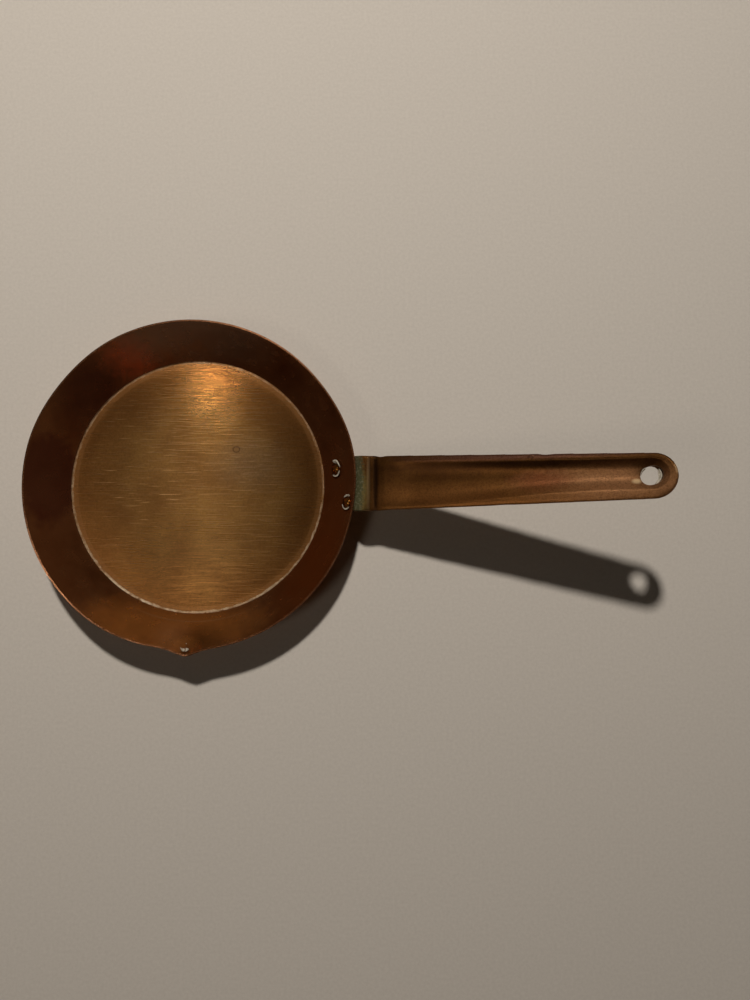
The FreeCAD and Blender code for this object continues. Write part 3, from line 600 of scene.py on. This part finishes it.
def shape_strip(place):
    """Where a point of the straight, level-sided blank ends up once it is trimmed, turned and pressed."""
    along = (place.x - STRIP_START.x) / math.cos(STRIP_TILT)
    off = place.y / STRIP_HALF * half_width(along)
    # the flange and its bend follow the round wall, and the ledge runs out straight
    round_share = 1 - ease(place.x, 63.3 * MM, 67.2 * MM)
    back = (math.sqrt(place.x**2 - off**2) - place.x) * round_share
    # the flange is sprung off the rim, which is no truer a round than the rest
    sprung = 0.8 * MM * (1 - ease(place.x, 63 * MM, 71 * MM))
    down = 0.0
    if along > 0:
        # both edges are rubbed and roll down a little
        half = half_width(along)
        down = groove_depth(along, off) + ease(abs(off), half - 1.4 * MM, half) * 0.22 * MM
    over, up = place.x + back + sprung + down * math.sin(STRIP_TILT), place.z - down * math.cos(STRIP_TILT)
    return Vector((over, off, up))


def make_handle():
    """One strip, drawn in section, pulled out to its width, trimmed, pressed, thickened and pierced."""
    handle = draw(handle_line())
    handle.name = handle.data.name = "strip_handle"
    edit(handle)
    rows = 28
    bpy.ops.mesh.select_all(action="SELECT")
    bpy.ops.transform.translate(value=(0, -STRIP_HALF, 0))
    for _ in range(rows):
        bpy.ops.mesh.extrude_region_move(TRANSFORM_OT_translate={"value": (0, 2 * STRIP_HALF / rows, 0)})
    # the press: its groove changes all along the strip, so each point is placed by how far along it lies
    mesh = bmesh.from_edit_mesh(handle.data)
    for vert in mesh.verts:
        vert.co = shape_strip(vert.co)
    bmesh.update_edit_mesh(handle.data)
    bpy.ops.mesh.select_all(action="SELECT")
    bpy.ops.mesh.remove_doubles(threshold=0.002 * MM)
    bpy.ops.mesh.normals_make_consistent(inside=False)
    mesh = bmesh.from_edit_mesh(handle.data)
    if sum(face.normal.z for face in mesh.faces) < 0:
        bpy.ops.mesh.flip_normals()
    # the flange's lower corners are cut off round
    for side in (-1, 1):
        corner = Vector((51.3 * MM, side * STRIP_HALF, 3.5 * MM))
        nudge(handle, corner, (0.9 * MM, -side * 0.9 * MM, 1.3 * MM), 3.4 * MM, "SHARP", near=1.0 * MM)
    done()
    apply_modifier(handle, "SOLIDIFY", thickness=STRIP_SHEET, offset=-1.0, use_even_offset=True)
    # pierced right through, and worn lopsided at the mouth on the side towards the tip
    for shift, low in (((0, 0), -10 * MM), ((1.0 * MM, 0.3 * MM), -MOUTH)):
        punch = make_punch(shift, low)
        apply_modifier(handle, "BOOLEAN", operation="DIFFERENCE", object=punch, solver="EXACT")
        bpy.data.objects.remove(punch)
    apply_modifier(handle, "REMESH", mode="VOXEL", voxel_size=0.3 * MM, adaptivity=0.0)
    apply_modifier(handle, "SMOOTH", factor=0.5, iterations=7)
    edit(handle)
    for spot, shift, reach in HANDLE_MARKS:
        nudge(handle, on_strip(*spot), [v * MM for v in shift], reach * MM, near=0.5 * MM)
    done()
    handle.data.materials.append(browned_strip())
    only(handle)
    bpy.ops.object.shade_smooth()
    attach(handle, "root")
    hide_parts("handle")


def on_strip(along, across):
    """A spot on the strip's upper face, given along and across it in millimetres."""
    pressed = INTO_STRIP * groove_depth(along * MM, across * MM)
    return STRIP_START + UP_STRIP * along * MM + pressed + Vector((0, across * MM, 0))


def make_punch(shift, low):
    """A round punch, square to the strip, beside the hanging hole's middle. low is its end's height there."""
    half_length = 10 * MM
    bpy.ops.object.select_all(action="DESELECT")
    bpy.ops.mesh.primitive_cylinder_add(
        vertices=64, radius=HOLE_RADIUS, depth=2 * half_length, location=(0, 0, 0)
    )
    punch = bpy.context.object
    punch.matrix_world = hole_frame() @ Matrix.Translation((shift[0], shift[1], low + half_length))
    return punch


def hole_frame():
    """The middle of the hanging hole on the groove's floor, +Z square out of the strip."""
    middle = on_strip(HOLE_ALONG / MM, HOLE_ACROSS / MM)
    return Matrix.Translation(middle) @ Matrix.Rotation(-STRIP_TILT, 4, "Y")


# ---------------------------------------------------------------- the rivets


def rivet_frame(name):
    """Origin on the wall's outside, +Z square through the wall into the pan."""
    height, angle = RIVETS[name]
    radius = FOOT_RADIUS + height / math.tan(WALL_SLOPE)
    place = Matrix.Translation(Vector((radius, 0, height)))
    return Matrix.Rotation(angle, 4, "Z") @ place @ Matrix.Rotation(-WALL_SLOPE, 4, "Y")


def make_rivet(name, copper):
    """Turned blank with both heads hammered over, and a few hammer marks on the one inside the pan."""
    shank, head, tail = 1.5 * MM, 2.2 * MM, 2.6 * MM
    seat, back = SHEET + 0.05 * MM, -(STRIP_SHEET + 0.05 * MM)
    # the head's dome, the shank, and the flatter tail: how far out, and how high over its seat
    dome = ((0, 1.32), (0.5, 1.3), (1.05, 1.14), (1.55, 0.85), (1.95, 0.48), (head / MM, 0.16))
    burr = ((tail / MM, 0.15), (2.2, 0.5), (1.5, 0.85), (0.8, 1.04), (0, 1.1))
    section = [(out * MM, seat + high * MM) for out, high in dome]
    section += [(head - 0.06 * MM, seat), (shank, seat), (shank, back), (tail - 0.1 * MM, back)]
    section += [(out * MM, back - high * MM) for out, high in burr]
    rivet = turn(section, name + "_peened", 40)
    edit(rivet)
    for degrees, push in ((40, 0.14), (170, 0.1), (285, 0.16)):
        spot = round_z(degrees) * 1.2 * MM + Vector((0, 0, seat + 1.1 * MM))
        nudge(rivet, spot, (0, 0, -push * MM), 1.1 * MM, near=0.35 * MM)
    done()
    apply_modifier(rivet, "SUBSURF", levels=2, render_levels=2)
    rivet.matrix_world = rivet_frame(name)
    settle(rivet)
    smooth(rivet)
    rivet.data.materials.append(copper)
    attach(rivet, "root")
    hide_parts(name)


# ---------------------------------------------------------------- dried polish in the corners


def make_crust(name, base, ring, width, height, start, stop, chalk):
    """A crescent of dried polish, thick in the middle and thin at its ends. Its sizes are in millimetres."""
    section = ((-0.5, 0), (-0.3, height), (0.2, height), (0.5, 0))
    crust = draw([((ring + width * share) * MM, high * MM) for share, high in section])
    crust.name = crust.data.name = name
    edit(crust)
    bpy.ops.mesh.select_all(action="SELECT")
    bpy.ops.transform.rotate(value=math.radians(start), orient_axis="Z", center_override=(0, 0, 0))
    steps = max(6, round((stop - start) / 7))
    bpy.ops.mesh.spin(steps=steps, angle=math.radians(stop - start), center=(0, 0, 0), axis=(0, 0, 1))
    bpy.ops.mesh.select_all(action="SELECT")
    bpy.ops.mesh.edge_face_add()
    bpy.ops.mesh.remove_doubles(threshold=0.005 * MM)
    for degrees in (start, stop):
        away = round_z(degrees) * ring * MM
        pick(crust, lambda place: (place - away).length < width * MM)
        bpy.ops.transform.resize(
            value=(0.2, 0.2, 0.2), center_override=away, use_proportional_edit=True,
            proportional_edit_falloff="SMOOTH", proportional_size=ring * 0.6 * MM,
        )
    bpy.ops.mesh.select_all(action="SELECT")
    bpy.ops.transform.vertex_random(offset=0.13 * width * MM, seed=len(name))
    bpy.ops.mesh.normals_make_consistent(inside=False)
    done()
    apply_modifier(crust, "SUBSURF", levels=2, render_levels=2)
    crust.matrix_world = base
    settle(crust)
    smooth(crust)
    crust.data.materials.append(chalk)
    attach(crust, "root")


def make_crusts():
    """Polish left beside both rivet heads, in the crease of the lip and in the hanging hole."""
    chalk = dried_polish()
    seat = Matrix.Translation((0, 0, SHEET - 0.02 * MM))
    low, high = (rivet_frame(name) @ seat for name in RIVETS)
    make_crust("polish_low_rivet_top", low, 2.85, 0.6, 0.3, 15, 140, chalk)
    make_crust("polish_low_rivet_side", low, 3.1, 1.3, 0.5, -110, 0, chalk)
    make_crust("polish_high_rivet_top", high, 2.75, 0.4, 0.22, 35, 165, chalk)
    make_crust("polish_high_rivet_low", high, 2.75, 0.42, 0.22, -145, -50, chalk)
    # crumbs in the crease of the lip, lying on its slope
    lip_slope = math.radians(-46)
    lip = Matrix.Translation((-0.1 * MM, -59.6 * MM, 14.4 * MM)) @ Matrix.Rotation(lip_slope, 4, "X")
    for name, spot, ring, width, height, start, stop in (
        ("polish_lip_left", (0.2, 0.2, 0.55), 1.9, 1.6, 1.1, 85, 195),
        ("polish_lip_right", (0.1, -0.9, 0.2), 0.9, 1.5, 1.0, -80, 90),
        ("polish_lip_upper", (0.3, 2.0, 0.6), 0.5, 1.4, 0.9, 30, 230),
    ):
        base = lip @ Matrix.Translation(Vector(spot) * MM)
        make_crust(name, base, ring, width, height, start, stop, chalk)
    sunk = hole_frame() @ Matrix.Translation((0, 0, -MOUTH - 0.1 * MM))
    make_crust("polish_hole_far_side", sunk, 3.4, 1.0, 0.55, -45, 80, chalk)
    make_crust("polish_hole_near_side", sunk, 2.95, 0.7, 0.9, 180, 245, chalk)


# ---------------------------------------------------------------- floor, light and camera


def make_floor():
    """A wide sheet of paper for the pan to stand on."""
    bpy.ops.mesh.primitive_plane_add(size=3.0, location=(0, 0, 0))
    floor = bpy.context.object
    floor.name = "studio_floor"
    floor.data.materials.append(plain_paper())


def make_lamp(name, place, target, size, power, colour, shows="both"):
    """A round soft lamp. A "gloss" one is only mirrored, and a "matt" one only lights what isn't shiny."""
    bpy.ops.object.light_add(type="AREA", location=place)
    lamp = bpy.context.object
    lamp.name = name
    lamp.data.shape = "DISK"
    lamp.data.size = size
    lamp.data.energy = power
    lamp.data.color = srgb(colour)[:3]
    lamp.visible_diffuse = shows != "gloss"
    lamp.visible_glossy = shows != "matt"
    lamp.rotation_euler = (Vector(target) - Vector(place)).to_track_quat("-Z", "Y").to_euler()


def make_camera():
    """Above the pan, between bowl and handle, and tipped a little: a hand held over the table."""
    bpy.ops.object.camera_add(location=(0.0665, -0.0233, 0.2816))
    camera = bpy.context.object
    camera.data.lens = 26.47
    camera.data.clip_start = 0.01
    camera.rotation_euler = (math.radians(3.73), math.radians(-0.26), math.radians(0.24))
    bpy.context.scene.camera = camera


def light_room():
    """A dim room, darker overhead than towards the horizon: what the copper mirrors where it doesn't mirror a
    lamp.
    """
    world = bpy.data.worlds.new("dim room")
    bpy.context.scene.world = world
    world.use_nodes = True
    tree = world.node_tree
    way = add(tree, "TexCoord", out="Generated")
    up = add(tree, "SeparateXYZ", {0: way}, "Z")
    room = tint(tree, spread(tree, up, 0.15, 0.75), srgb("8A7460"), srgb("4E4236"))
    background = tree.nodes["Background"]
    tree.links.new(room, background.inputs["Color"])
    background.inputs["Strength"].default_value = 0.5
    world.cycles_visibility.diffuse = False


def main():
    """Makes every piece, then the floor, the lamps, the room and the camera."""
    bpy.context.scene.view_settings.view_transform = "Standard"
    make_pan()
    make_handle()
    copper = worn_copper("peened copper rivet", "7A4C24", "B5803E", 0.24)
    for name in RIVETS:
        make_rivet(name, copper)
    make_crusts()
    make_floor()
    make_lamp("key", (-0.025, 0.509, LAMP_HEIGHT), (0, 0, 0), 0.055, 5.3, "FFF2E4", "matt")
    make_lamp("sheen of the key", (-0.15, 0.26, LAMP_HEIGHT), (0, 0, 0), 0.05, 0.21, LAMP_TINT, "gloss")
    make_lamp("sheen from above", (-0.14, -0.09, LAMP_HEIGHT), (0, 0, 0), 0.16, 0.082, LAMP_TINT, "gloss")
    make_lamp("sheen from the right", (0.21, 0.35, LAMP_HEIGHT), (0.1, 0, 0), 0.06, 0.5, LAMP_TINT, "gloss")
    make_lamp("fill", (-0.35, -0.25, 0.75), (0, 0, 0), 0.2, 0.36, "FFE9D2")
    light_room()
    make_camera()


main()
